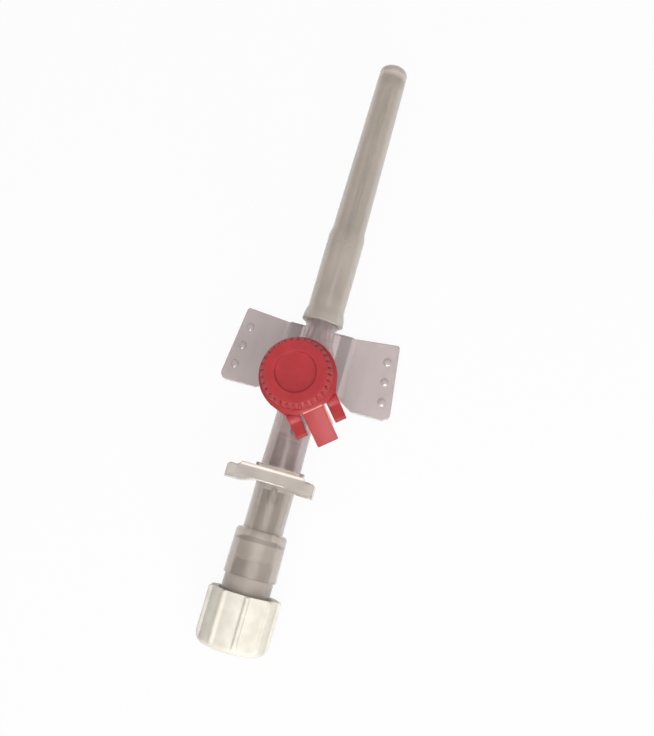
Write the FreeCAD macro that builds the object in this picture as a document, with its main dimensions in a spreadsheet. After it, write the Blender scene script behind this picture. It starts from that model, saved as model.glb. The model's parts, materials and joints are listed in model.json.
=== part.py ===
# Ported, winged intravenous cannula with needle, flash chamber, stopper and cover.
# The hub axis runs along Y with the needle tip towards +Y, and +Z is up. The part lies
# on its stopper. Every piece is drawn from the point where the injection port's axis
# crosses the hub axis, and is placed by port_place() into the part's own frame.
import FreeCAD, Part
import enum
import math
import os
import Sketcher

SIZES = {
    # Fits between pieces
    "slide_gap": 0.05,
    "face_gap": 0.05,
    "bond_gap": 0.02,
    # Female luer bores and the cones that seat in them
    "luer_mouth": 4.27,
    "luer_taper": 0.06,
    "luer_gap": 0.03,
    "lug_span": 7.8,
    "lug_length": 1.1,
    "lug_angle": 42.0,
    # Catheter hub, from the port axis backwards and forwards
    "hub_tail": 14.35,
    "hub_luer_depth": 8.0,
    "barrel_tail_od": 6.36,
    "barrel_front_od": 6.1,
    "barrel_front": 6.2,
    "shoulder_length": 1.4,
    "throat_od": 4.94,
    "throat_length": 3.6,
    "bead_height": 0.12,
    "bead_width": 0.4,
    "lead_length": 1.4,
    "seat_od": 4.2,
    "seat_length": 2.2,
    "nose_length": 4.4,
    "nose_tip_od": 1.9,
    "chamber_front": 4.6,
    # Wings of the catheter hub
    "wing_drop": 3.1,
    "wing_thick": 0.7,
    "web_step": 0.5,
    "web_half": 5.1,
    "bevel_front": 0.3,
    "bevel_rear": 1.1,
    "wing_front_root": 9.95,
    "wing_front_sweep": 0.7,
    "wing_front_half": 12.75,
    "wing_rear_half": 14.2,
    "wing_rear": 1.75,
    "wing_rear_inner": 8.0,
    "wing_notch": 1.75,
    "wing_rear_corner": 1.2,
    "wing_front_corner": 0.5,
    "wing_edge_round": 0.25,
    "dome_width": 1.36,
    "dome_height": 0.4,
    "dome_root": 0.1,
    "dome_pitch": 3.2,
    "dome_edge": 1.65,
    "dome_centre": 4.3,
    "dome_count": 3,
    # Injection port
    "stem_od": 5.4,
    "stem_bore": 3.9,
    "stem_height": 11.7,
    "stem_bead": 0.2,
    "boss_od": 7.6,
    "boss_height": 4.8,
    "port_hole": 2.0,
    "port_floor": 4.6,
    "port_cone": 0.78,
    "valve_length": 6.4,
    "valve_bore": 2.5,
    # Swivelling ring and the flip lid that it carries
    "lid_turn": 39.5,
    "ring_od": 9.2,
    "ring_height": 1.55,
    "ring_round": 0.2,
    "leg_spread": 6.24,
    "leg_width": 1.8,
    "leg_root_width": 1.95,
    "leg_thick": 0.8,
    "leg_reach": 8.0,
    "leg_fold": 0.1,
    "fold_gap": 0.1,
    "lid_lift": 0.9,
    "skirt_od": 10.0,
    "skirt_height": 2.1,
    "flange_od": 11.6,
    "flange_height": 0.6,
    "flange_slope": 0.35,
    "gusset_half": 5.4,
    "gusset_start": 2.2,
    "gusset_end": 4.6,
    "lid_od": 10.4,
    "crown_od": 9.25,
    "lid_bore": 8.4,
    "lid_roof": 1.55,
    "recess_od": 6.05,
    "recess_depth": 0.55,
    "knurl_count": 32,
    "knurl_height": 1.0,
    "knurl_foot": 0.25,
    "knurl_width": 0.55,
    "knurl_root": 0.12,
    "plug_root_od": 3.4,
    "plug_tip_od": 1.8,
    "plug_length": 1.0,
    "tab_width": 3.3,
    "tab_thick": 0.7,
    "tab_reach": 10.3,
    "tab_top": 2.0,
    "tab_drop": 3.5,
    "tab_root": 0.4,
    # Catheter tube and its bush
    "tube_od": 1.1,
    "tube_bore": 0.8,
    "tube_length": 32.0,
    "tube_tip_od": 0.88,
    "tube_tip_length": 3.0,
    "tube_flare_od": 1.72,
    "tube_flare_cone": 1.0,
    "tube_flare_length": 0.8,
    "tube_grip": 5.6,
    "bush_wall": 0.11,
    "bush_nose": 0.6,
    # Needle
    "needle_od": 0.72,
    "needle_bore": 0.5,
    "needle_lead": 1.2,
    "bevel_angle": 17.0,
    # Needle hub with finger grip, flash chamber and rear socket
    "insert_length": 6.4,
    "well_od": 2.5,
    "well_depth": 1.75,
    "collar_wall": 0.32,
    "collar_gap": 0.12,
    "collar_length": 1.0,
    "key_gap": 0.15,
    "grip_disc_od": 8.4,
    "grip_disc_thick": 1.5,
    "grip_web_half": 5.6,
    "grip_bar_half": 6.65,
    "grip_bar_low": 5.9,
    "grip_bar_height": 2.5,
    "grip_bar_thick": 2.2,
    "grip_bar_lead": 0.42,
    "grip_sweep": 0.6,
    "grip_pad_half": 4.65,
    "grip_step": 0.4,
    "grip_rear_half": 2.3,
    "grip_rear_slope": 2.2,
    "grip_end_chamfer": 0.35,
    "grip_edge_round": 0.25,
    "flash_od": 6.24,
    "flash_bore": 3.5,
    "flash_floor": 1.0,
    "flash_boss_od": 2.1,
    "flash_boss_length": 1.96,
    "flash_length": 7.22,
    "socket_od": 8.05,
    "socket_flare": 0.2,
    "socket_round": 0.75,
    "socket_length": 7.15,
    "socket_bore": 6.2,
    "socket_wall": 1.2,
    "socket_cone": 0.7,
    # Flash plug and its filter
    "plug_insert": 2.43,
    "plug_neck_od": 7.6,
    "plug_neck_length": 2.5,
    "plug_tail_od": 6.6,
    "plug_tail_length": 6.5,
    "plug_luer_depth": 7.5,
    "vent_od": 1.4,
    "filter_od": 4.4,
    "filter_thick": 0.6,
    # Stopper
    "stopper_od": 11.4,
    "stopper_root_od": 10.5,
    "stopper_bore": 8.3,
    "stopper_cover": 6.65,
    "stopper_floor_gap": 0.3,
    "stopper_floor": 1.74,
    "stopper_round": 2.0,
    "rib_count": 9,
    "rib_width": 0.72,
    "rib_turn": 14.0,
    "cone_length": 6.0,
    "cone_bore": 2.0,
    # Needle cover
    "bare_throat": 2.83,
    "cover_length": 45.0,
    "cover_mouth_od": 6.74,
    "cover_flare": 2.47,
    "cover_flare_round": 1.2,
    "cover_flare_fall": 0.12,
    "cover_lip": 0.3,
    "cover_mouth_gap": 0.35,
    "cover_socket_od": 5.84,
    "cover_socket_length": 11.7,
    "cover_step": 1.4,
    "cover_shaft_od": 5.3,
    "cover_tip_od": 4.56,
    "cover_wall": 0.8,
    "cover_end_wall": 1.8,
    "cover_tip_round": 1.15,
}


class Size:
    """A length that carries its value and the sheet formula that gives it."""

    def __init__(self, value, formula):
        self.value = value
        self.formula = formula

    def __add__(self, other):
        other = as_size(other)
        return Size(self.value + other.value, f"({self.formula} + {other.formula})")

    def __radd__(self, other):
        return as_size(other) + self

    def __sub__(self, other):
        other = as_size(other)
        return Size(self.value - other.value, f"({self.formula} - {other.formula})")

    def __rsub__(self, other):
        return as_size(other) - self

    def __mul__(self, other):
        other = as_size(other)
        return Size(self.value * other.value, f"({self.formula} * {other.formula})")

    def __rmul__(self, other):
        return self * other

    def __truediv__(self, other):
        other = as_size(other)
        return Size(self.value / other.value, f"({self.formula} / {other.formula})")

    def __neg__(self):
        return Size(-self.value, f"(0 - {self.formula})")


def as_size(number):
    if isinstance(number, Size):
        return number
    return Size(float(number), repr(float(number)))


class Sheet:
    """The driving dimensions, each read as an attribute that gives a Size."""

    def __init__(self, doc, sizes):
        self.cells = doc.addObject("Spreadsheet::Sheet", "Sizes")
        for row, (name, value) in enumerate(sizes.items(), start=1):
            self.cells.set(f"A{row}", name)
            self.cells.set(f"B{row}", str(value))
            self.cells.setAlias(f"B{row}", name)
            setattr(self, name, Size(float(value), f"Sizes.{name}"))


doc = FreeCAD.newDocument("iv_cannula")
size = Sheet(doc, SIZES)
doc.recompute()


class Point(enum.IntEnum):
    """Which point of an edge a sketch constraint holds."""

    START = 1
    END = 2


class Reference(enum.IntEnum):
    """The sketch's own edges that a constraint may name."""

    ORIGIN = -1
    X_AXIS = -1
    Y_AXIS = -2


def new_body(label):
    body = doc.addObject("PartDesign::Body", label)
    body.Label = label
    return body


def datum(body, role):
    return next(o for o in body.Origin.OriginFeatures if o.Role == role)


def bind(thing, name, length):
    """Set a property to a Size and tie it to the sheet."""
    thing.setExpression(name, as_size(length).formula)


def new_sketch(body, name, role, offset=None):
    sketch = body.newObject("Sketcher::SketchObject", name)
    sketch.AttachmentSupport = [(datum(body, role), "")]
    sketch.MapMode = "FlatFace"
    if offset is not None:
        bind(sketch, "AttachmentOffset.Base.z", offset)
    return sketch


def arc_between(start, end, radius, turn):
    """An arc of the given radius from start to end, turning left for +1, right for -1."""
    middle = (start + end) * 0.5
    chord = end - start
    half = chord.Length / 2
    rise = math.sqrt(max(radius * radius - half * half, 0.0))
    side = FreeCAD.Vector(-chord.y, chord.x, 0).normalize()
    centre = middle + side * (rise * turn)
    first, last = (start, end) if turn > 0 else (end, start)
    from_angle = math.atan2(first.y - centre.y, first.x - centre.x)
    to_angle = math.atan2(last.y - centre.y, last.x - centre.x)
    circle = Part.Circle(centre, FreeCAD.Vector(0, 0, 1), radius)
    return Part.ArcOfCircle(circle, from_angle, to_angle)


def fix_point(sketch, edge, end, across, up):
    """Hold one end of an edge at two Sizes from the sketch's origin."""
    if across.value == 0 and up.value == 0:
        sketch.addConstraint(Sketcher.Constraint("Coincident", edge, end, Reference.ORIGIN, Point.START))
        return
    holds = (("DistanceX", across, Reference.Y_AXIS), ("DistanceY", up, Reference.X_AXIS))
    for kind, length, axis in holds:
        if length.value == 0:
            sketch.addConstraint(Sketcher.Constraint("PointOnObject", edge, end, axis))
            continue
        index = sketch.addConstraint(
            Sketcher.Constraint(kind, Reference.ORIGIN, Point.START, edge, end, length.value)
        )
        bind(sketch, f"Constraints[{index}]", length)


def outline(sketch, corners):
    """Draw a closed outline. A corner is (across, up), or (across, up, radius, turn)
    where the edge that leaves it is an arc."""
    points = [(as_size(c[0]), as_size(c[1])) for c in corners]
    places = [FreeCAD.Vector(a.value, u.value, 0) for a, u in points]
    first_edge = sketch.GeometryCount
    ends = []
    for i, corner in enumerate(corners):
        start = places[i]
        end = places[(i + 1) % len(places)]
        if len(corner) == 2:
            sketch.addGeometry(Part.LineSegment(start, end), False)
            ends.append((Point.START, Point.END))
            continue
        radius, turn = as_size(corner[2]), corner[3]
        edge = sketch.addGeometry(arc_between(start, end, radius.value, turn), False)
        along = (Point.START, Point.END)
        ends.append(along if turn > 0 else along[::-1])
        index = sketch.addConstraint(Sketcher.Constraint("Radius", edge, radius.value))
        bind(sketch, f"Constraints[{index}]", radius)
    for i in range(len(corners)):
        following = (i + 1) % len(corners)
        sketch.addConstraint(
            Sketcher.Constraint(
                "Coincident", first_edge + i, ends[i][1], first_edge + following, ends[following][0]
            )
        )
        fix_point(sketch, first_edge + i, ends[i][0], *points[i])


def turned(body, name, corners, kind="PartDesign::Revolution", plane="YZ_Plane", axis="H_Axis"):
    """Revolve an outline: across is along the axis and up is the radius. On the XZ plane
    the axis is the port's, across is the radius and up is the height."""
    sketch = new_sketch(body, name + "_outline", plane)
    outline(sketch, corners)
    feature = body.newObject(kind, name)
    feature.Profile = sketch
    feature.ReferenceAxis = (sketch, [axis])
    feature.Angle = 360
    body.Tip = feature
    return feature


def bored(body, name, corners):
    return turned(body, name, corners, kind="PartDesign::Groove")


def turned_up(body, name, corners, kind="PartDesign::Revolution"):
    return turned(body, name, corners, kind=kind, plane="XZ_Plane", axis="V_Axis")


def extruded(body, name, plane, length, draw, offset=None, back=False, cut=False):
    """Pad or pocket what draw() puts in a sketch on one of the body's planes."""
    sketch = new_sketch(body, name + "_outline", plane, offset)
    draw(sketch)
    feature = body.newObject("PartDesign::Pocket" if cut else "PartDesign::Pad", name)
    feature.Profile = sketch
    bind(feature, "Length", length)
    feature.Reversed = back
    body.Tip = feature
    return feature


def ringed(body, name, feature, role, count):
    """Repeat a feature evenly round one of the body's axes."""
    pattern = body.newObject("PartDesign::PolarPattern", name)
    pattern.Originals = [feature]
    pattern.Axis = (datum(body, role), [""])
    pattern.Angle = 360
    bind(pattern, "Occurrences", count)
    body.Tip = pattern
    return pattern


def dressed(body, name, kind, length, chosen):
    """Fillet or chamfer the edges of the body's last feature for which chosen() holds."""
    doc.recompute()
    base = body.Tip
    edges = [f"Edge{i}" for i, edge in enumerate(base.Shape.Edges, start=1) if chosen(edge)]
    feature = body.newObject(kind, name)
    feature.Base = (base, edges)
    bind(feature, "Size" if kind.endswith("Chamfer") else "Radius", length)
    body.Tip = feature
    return feature


def luer_radius(distance):
    """Radius of a female luer bore at a distance inside its mouth."""
    return size.luer_mouth / 2 - size.luer_taper / 2 * distance


# Stations on the hub axis, measured from the port axis, +Y towards the needle tip
hub_end = -size.hub_tail
hub_luer_end = hub_end + size.hub_luer_depth
throat_start = size.barrel_front + size.shoulder_length
throat_end = throat_start + size.throat_length
seat_start = throat_end + size.lead_length
seat_end = seat_start + size.seat_length
nose_end = seat_end + size.nose_length
tube_tip = nose_end + size.tube_length
needle_tip = tube_tip + size.needle_lead

cover_mouth = throat_start + size.bare_throat
cover_tip = cover_mouth + size.cover_length

grip_front = hub_end - size.face_gap
grip_back = grip_front - size.grip_disc_thick
collar_front = grip_front + size.collar_length
socket_front = grip_back - size.flash_length
socket_end = socket_front - size.socket_length
plug_neck_end = socket_end - size.face_gap - size.plug_neck_length
plug_end = plug_neck_end - size.plug_tail_length
plug_front = socket_end + size.plug_insert
stopper_front = plug_end + size.stopper_cover
stopper_floor = plug_end - size.stopper_floor_gap
stopper_end = stopper_floor - size.stopper_floor
needle_end = grip_back - size.flash_floor - size.flash_boss_length / 2

# Heights above the hub axis
wing_base = -size.wing_drop
wing_top = wing_base + size.wing_thick
web_top = wing_top + size.web_step
ring_base = size.boss_height + size.face_gap
ring_top = ring_base + size.ring_height
fold_height = ring_top + size.fold_gap
lid_base = ring_top + size.lid_lift
lid_ceiling = size.stem_height + size.face_gap
lid_top = lid_ceiling + size.lid_roof
flange_low = lid_base + size.skirt_height
flange_top = flange_low + size.flange_height

# The part's frame has its origin below the middle of the whole, on the resting plane
port_along = -(cover_tip + stopper_end) / 2
axis_height = size.stopper_od / 2


def port_place(body, turn=None, axis=(0, 0, 1)):
    """Put a body's own origin at the port axis, turned about an axis where one is given."""
    bind(body, "Placement.Base.y", port_along)
    bind(body, "Placement.Base.z", axis_height)
    if turn is None:
        return
    body.Placement.Rotation = FreeCAD.Rotation(FreeCAD.Vector(*axis), turn.value)
    bind(body, "Placement.Rotation.Angle", turn)


def lugs(body, name, end):
    """A pair of luer lock lugs at the open end of a hub, left and right of its bore."""
    inner = size.luer_mouth / 2
    outer = size.lug_span / 2
    sketch = new_sketch(body, name + "_outline", "XY_Plane")
    outline(
        sketch,
        [(inner, end), (outer, end), (outer, end + size.lug_length), (inner, end + size.lug_length)],
    )
    lug = body.newObject("PartDesign::Revolution", name)
    lug.Profile = sketch
    lug.ReferenceAxis = (sketch, ["V_Axis"])
    lug.Midplane = True
    bind(lug, "Angle", size.lug_angle)
    body.Tip = lug
    ringed(body, name + "_pair", lug, "Y_Axis", 2)


def wing_outline(sketch):
    """Both wings in one plate, symmetrical about the hub axis."""
    front = size.wing_front_root + size.wing_front_sweep
    inner_front = size.web_half + size.bevel_front
    notch_half = size.web_half
    side = [
        (inner_front, size.wing_front_root),
        (size.wing_front_half, front),
        (size.wing_rear_half, -size.wing_rear),
        (size.wing_rear_inner, -size.wing_rear),
        (notch_half, -size.wing_rear + size.wing_notch),
    ]
    mirrored = [(-across, up) for across, up in reversed(side)]
    outline(sketch, side + mirrored)


def wing_edge(distance_back):
    """Half width of the wings at a distance behind their front corners."""
    depth = size.wing_front_root + size.wing_front_sweep + size.wing_rear
    spread = size.wing_rear_half - size.wing_front_half
    return size.wing_front_half + spread / depth * distance_back


def web_section(body, name, height, front_half, rear_half):
    """The raised middle of the wings, cut at one height."""
    sketch = new_sketch(body, name, "XY_Plane", height)
    front = size.wing_front_root
    rear = -size.wing_rear + size.wing_notch
    outline(
        sketch,
        [(front_half, front), (rear_half, rear), (-rear_half, rear), (-front_half, front)],
    )
    return sketch


def grip_dome(body, across, along):
    """A low spherical dome on the top of a wing."""
    sketch = new_sketch(body, "dome_outline", "XZ_Plane", -along)
    bind(sketch, "AttachmentOffset.Base.x", across)
    half = size.dome_width / 2
    ball_r = (half * half + size.dome_height * size.dome_height) / (size.dome_height * 2)
    outline(sketch, [
        (0, wing_top - size.dome_root),
        (half, wing_top - size.dome_root),
        (half, wing_top, ball_r, 1),
        (0, wing_top + size.dome_height),
    ])
    dome = body.newObject("PartDesign::Revolution", "dome")
    dome.Profile = sketch
    dome.ReferenceAxis = (sketch, ["V_Axis"])
    dome.Angle = 360
    body.Tip = dome


def make_catheter_hub():
    """Barrel, nose, port stem, wings and luer lugs: one moulding."""
    body = new_body("catheter_hub")
    barrel_r = size.barrel_front_od / 2
    throat_r = size.throat_od / 2
    bead_front = cover_mouth - size.face_gap
    bead_back = bead_front - size.bead_width
    bead_r = throat_r + size.bead_height
    turned(body, "barrel_and_nose", [
        (hub_end, 0),
        (hub_end, size.barrel_tail_od / 2),
        (-size.barrel_front, barrel_r),
        (size.barrel_front, barrel_r),
        (throat_start, throat_r),
        (bead_back, throat_r),
        (bead_back, bead_r),
        (bead_front, bead_r),
        (bead_front, throat_r),
        (throat_end, throat_r),
        (seat_start, size.seat_od / 2),
        (seat_end, size.seat_od / 2),
        (nose_end, size.nose_tip_od / 2),
        (nose_end, 0),
    ])
    stem_r = size.stem_od / 2
    bead_low = ring_top + size.face_gap
    turned_up(body, "port_stem", [
        (0, 0),
        (barrel_r - size.slide_gap, 0),
        (size.boss_od / 2, size.barrel_tail_od / 2),
        (size.boss_od / 2, size.boss_height),
        (stem_r, size.boss_height),
        (stem_r, bead_low),
        (stem_r + size.stem_bead, bead_low + size.stem_bead),
        (stem_r, bead_low + size.stem_bead * 2),
        (stem_r, size.stem_height),
        (0, size.stem_height),
    ])
    extruded(body, "wing_plate", "XY_Plane", size.wing_thick, wing_outline, offset=wing_base)

    def sharp_corner(half):
        def chosen(edge):
            upright = abs(edge.tangentAt(edge.FirstParameter).z) > 0.99
            centre = edge.CenterOfMass
            low = wing_base.value - 0.01 < centre.z < wing_top.value + 0.01
            return edge.Length < size.wing_thick.value * 1.01 and upright and low and (
                abs(abs(centre.x) - half.value) < 0.01
            )
        return chosen

    dressed(body, "front_corners", "PartDesign::Fillet", size.wing_front_corner,
            sharp_corner(size.wing_front_half))
    dressed(body, "rear_corners", "PartDesign::Fillet", size.wing_rear_corner,
            sharp_corner(size.wing_rear_half))

    def wing_rim(edge):
        centre = edge.CenterOfMass
        level = min(abs(edge.BoundBox.ZMin - height.value) for height in (wing_base, wing_top))
        outboard = abs(centre.x) > size.wing_rear_inner.value
        return outboard and level < 0.01 and edge.BoundBox.ZLength < 0.01

    dressed(body, "wing_rims", "PartDesign::Fillet", size.wing_edge_round, wing_rim)
    web = body.newObject("PartDesign::AdditiveLoft", "wing_web")
    web.Profile = web_section(body, "web_foot", wing_top, size.web_half + size.bevel_front,
                              size.web_half + size.bevel_rear)
    web.Sections = [web_section(body, "web_crown", web_top, size.web_half, size.web_half)]
    web.Ruled = True
    body.Tip = web
    for side in (-1, 1):
        for number in range(int(size.dome_count.value)):
            along = size.dome_centre + size.dome_pitch * (number - (size.dome_count.value - 1) / 2)
            back = size.wing_front_root + size.wing_front_sweep - along
            grip_dome(body, side * (wing_edge(back) - size.dome_edge), along)
    lugs(body, "luer_lug", hub_end)
    pocket_r = size.tube_flare_od / 2 + size.bond_gap
    tube_r = size.tube_od / 2 + size.bond_gap
    flare_end = nose_end - size.tube_grip
    flare_start = flare_end - size.tube_flare_cone
    bored(body, "fluid_bore", [
        (hub_end, 0),
        (hub_end, size.luer_mouth / 2),
        (hub_luer_end, luer_radius(size.hub_luer_depth)),
        (size.chamber_front, luer_radius(size.hub_luer_depth)),
        (flare_start - size.tube_flare_length - size.face_gap, pocket_r),
        (flare_start, pocket_r),
        (flare_end, tube_r),
        (nose_end, tube_r),
        (nose_end, 0),
    ])
    turned_up(body, "port_bore", [
        (0, 0),
        (size.port_hole / 2, 0),
        (size.port_hole / 2, size.port_floor),
        (size.stem_bore / 2, size.port_floor + size.port_cone),
        (size.stem_bore / 2, size.stem_height),
        (0, size.stem_height),
    ], kind="PartDesign::Groove")
    port_place(body)
    return body


def make_catheter_tube():
    """Soft catheter: thin tube, tapered tip, end flared over the bush."""
    body = new_body("catheter_tube")
    flare_end = nose_end - size.tube_grip
    flare_start = flare_end - size.tube_flare_cone
    rear = flare_start - size.tube_flare_length
    wall = (size.tube_od - size.tube_bore) / 2
    turned(body, "tube", [
        (rear, size.tube_flare_od / 2 - wall),
        (rear, size.tube_flare_od / 2),
        (flare_start, size.tube_flare_od / 2),
        (flare_end, size.tube_od / 2),
        (tube_tip - size.tube_tip_length, size.tube_od / 2),
        (tube_tip, size.tube_tip_od / 2),
        (tube_tip, size.tube_bore / 2),
        (flare_end, size.tube_bore / 2),
        (flare_start, size.tube_flare_od / 2 - wall),
    ])
    port_place(body)
    return body


def make_fixing_bush():
    """Thin metal funnel that holds the flared end of the catheter in the hub."""
    body = new_body("fixing_bush")
    flare_start = nose_end - size.tube_grip - size.tube_flare_cone
    rear = flare_start - size.tube_flare_length
    tube_wall = (size.tube_od - size.tube_bore) / 2
    wide_r = size.tube_flare_od / 2 - tube_wall - size.bond_gap
    fall = (size.tube_flare_od - size.tube_od) / 2 / size.tube_flare_cone
    nose_r = wide_r - fall * size.bush_nose
    turned(body, "bush", [
        (rear, wide_r - size.bush_wall),
        (rear, wide_r),
        (flare_start, wide_r),
        (flare_start + size.bush_nose, nose_r),
        (flare_start + size.bush_nose, size.needle_od / 2 + size.slide_gap),
        (flare_start, wide_r - size.bush_wall),
    ])
    port_place(body)
    return body


def make_injection_valve():
    """Soft sleeve that closes the hole under the port from inside the barrel."""
    body = new_body("injection_valve")
    sleeve_r = luer_radius(size.hub_luer_depth) - size.bond_gap
    turned(body, "sleeve", [
        (-size.valve_length / 2, size.valve_bore / 2),
        (-size.valve_length / 2, sleeve_r),
        (size.valve_length / 2, sleeve_r),
        (size.valve_length / 2, size.valve_bore / 2),
    ])
    port_place(body)
    return body


def strap_centres():
    return (-size.leg_spread / 2, size.leg_spread / 2)


def make_port_ring():
    """Ring that turns on the port stem, with the two legs of the lid's strap."""
    body = new_body("port_ring")
    bore_r = size.stem_od / 2 + size.slide_gap
    turned_up(body, "ring", [
        (bore_r, ring_base),
        (size.ring_od / 2 - size.ring_round, ring_base),
        (size.ring_od / 2, ring_base + size.ring_round),
        (size.ring_od / 2, ring_top),
        (bore_r, ring_top),
    ])
    for across in strap_centres():
        def leg(sketch, middle=across):
            root = size.leg_root_width / 2
            tip = size.leg_width / 2
            end = -size.leg_reach - size.leg_fold
            outline(sketch, [(middle - root, -bore_r), (middle - tip, end),
                             (middle + tip, end), (middle + root, -bore_r)])

        extruded(body, "strap_leg", "XY_Plane", size.leg_thick, leg,
                 offset=ring_top - size.leg_thick)
    port_place(body, size.lid_turn)
    return body


def make_port_cap():
    """Knurled flip lid of the injection port, with its strap arms and thumb tab."""
    body = new_body("port_cap")
    skirt_r = size.skirt_od / 2
    flange_r = size.flange_od / 2
    wall_r = size.lid_od / 2
    crown_r = size.crown_od / 2
    knurl_low = lid_top - size.knurl_height
    turned_up(body, "lid", [
        (0, lid_base),
        (skirt_r, lid_base),
        (skirt_r, flange_low),
        (flange_r, flange_low),
        (flange_r, flange_top),
        (wall_r, flange_top + size.flange_slope),
        (wall_r, knurl_low),
        (crown_r, knurl_low),
        (crown_r, lid_top),
        (size.recess_od / 2, lid_top),
        (size.recess_od / 2, lid_top - size.recess_depth),
        (0, lid_top - size.recess_depth),
    ])

    def gussets(sketch):
        arm_half = (size.leg_spread + size.leg_root_width) / 2
        outline(sketch, [
            (-size.gusset_half, -size.gusset_start),
            (-arm_half, -size.gusset_end),
            (arm_half, -size.gusset_end),
            (size.gusset_half, -size.gusset_start),
        ])

    extruded(body, "strap_gussets", "XY_Plane", size.flange_height, gussets, offset=flange_low)

    def tooth(sketch):
        inside = crown_r - size.knurl_root
        outside = wall_r - size.face_gap
        outline(sketch, [
            (inside, knurl_low - size.knurl_root),
            (outside, knurl_low - size.knurl_root),
            (outside, knurl_low + size.knurl_foot),
            (crown_r, lid_top),
            (inside, lid_top),
        ])

    knurl = extruded(body, "knurl_tooth", "XZ_Plane", size.knurl_width, tooth,
                     offset=-size.knurl_width / 2)
    ringed(body, "knurl", knurl, "Z_Axis", size.knurl_count)
    under = fold_height + size.fold_gap
    for across in strap_centres():
        def arm(sketch):
            inner = size.lid_bore / 2 - size.leg_root_width / 2
            outline(sketch, [
                (-size.leg_reach, under),
                (-size.leg_reach, under + size.leg_thick),
                (-skirt_r, lid_base + size.leg_thick),
                (-inner, lid_base + size.leg_thick),
                (-inner, lid_base),
                (-skirt_r, lid_base),
                (-skirt_r - size.leg_thick / 2, under),
            ])

        extruded(body, "strap_arm", "YZ_Plane", size.leg_root_width, arm,
                 offset=across - size.leg_root_width / 2)

    def arm_flanks(sketch):
        root = size.leg_root_width / 2
        tip = size.leg_width / 2
        end = -size.leg_reach - size.leg_fold
        for middle in strap_centres():
            for side in (-1, 1):
                flank = [(middle + side * root, -skirt_r), (middle + side * root, end),
                         (middle + side * tip, end)]
                outline(sketch, flank)

    extruded(body, "arm_taper", "XY_Plane", size.leg_thick * 2, arm_flanks, offset=under,
             cut=True, back=True)

    def tab(sketch):
        top = lid_base + size.tab_top
        far = top - size.tab_drop
        outline(sketch, [
            (-skirt_r + size.tab_root, top),
            (-flange_r, top),
            (-size.tab_reach, far),
            (-size.tab_reach, far - size.tab_thick),
            (-flange_r, top - size.tab_thick),
            (-skirt_r + size.tab_root, top - size.tab_thick),
        ])

    extruded(body, "thumb_tab", "YZ_Plane", size.tab_width, tab, offset=-size.tab_width / 2)
    turned_up(body, "cavity_and_plug", [
        (0, fold_height),
        (size.lid_bore / 2, fold_height),
        (size.lid_bore / 2, lid_ceiling),
        (size.plug_root_od / 2, lid_ceiling),
        (size.plug_tip_od / 2, lid_ceiling - size.plug_length),
        (0, lid_ceiling - size.plug_length),
    ], kind="PartDesign::Groove")
    port_place(body, size.lid_turn)
    return body


def make_needle():
    """Steel needle with a ground bevel that faces up."""
    body = new_body("needle")
    turned(body, "shaft", [
        (needle_end, size.needle_bore / 2),
        (needle_end, size.needle_od / 2),
        (needle_tip, size.needle_od / 2),
        (needle_tip, size.needle_bore / 2),
    ])
    bevel_length = size.needle_od / math.tan(math.radians(size.bevel_angle.value))

    def bevel(sketch):
        outline(sketch, [
            (needle_tip, -size.needle_od / 2),
            (needle_tip + size.needle_od, -size.needle_od / 2),
            (needle_tip + size.needle_od, size.needle_od),
            (needle_tip - bevel_length, size.needle_od),
            (needle_tip - bevel_length, size.needle_od / 2),
        ])

    extruded(body, "bevel", "YZ_Plane", size.needle_od * 2, bevel, offset=-size.needle_od,
             back=True, cut=True)
    port_place(body)
    return body


def make_needle_bond():
    """Bead of adhesive that holds the needle in the well of its hub."""
    body = new_body("needle_bond")
    front = hub_end + size.insert_length
    well_end = front - size.well_depth
    shaft_r = size.needle_od / 2 + size.bond_gap
    foot_r = shaft_r + size.bond_gap * 2
    slope = (size.well_od / 2 - foot_r) / size.well_depth
    fill_front = front - size.bond_gap * 4
    fill_end = well_end + size.bond_gap * 4
    turned(body, "bead", [
        (fill_end, shaft_r),
        (fill_end, foot_r + slope * (fill_end - well_end) - size.bond_gap),
        (fill_front, foot_r + slope * (fill_front - well_end) - size.bond_gap),
        (fill_front, shaft_r),
    ])
    port_place(body)
    return body


def grip_bar_outline(sketch):
    """Top of the finger grip seen from above: middle forward, ends swept back."""
    front = grip_front + size.grip_bar_lead
    back = front - size.grip_bar_thick
    swept_front = front - size.grip_sweep
    swept_back = back - size.grip_sweep
    side = [
        (size.grip_pad_half, front),
        (size.grip_pad_half + size.grip_step, swept_front),
        (size.grip_bar_half - size.grip_end_chamfer, swept_front),
        (size.grip_bar_half, swept_front - size.grip_end_chamfer),
        (size.grip_bar_half, swept_back),
        (size.grip_rear_half + size.grip_rear_slope, swept_back),
        (size.grip_rear_half, back),
    ]
    outline(sketch, side + [(-across, up) for across, up in reversed(side)])


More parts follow.
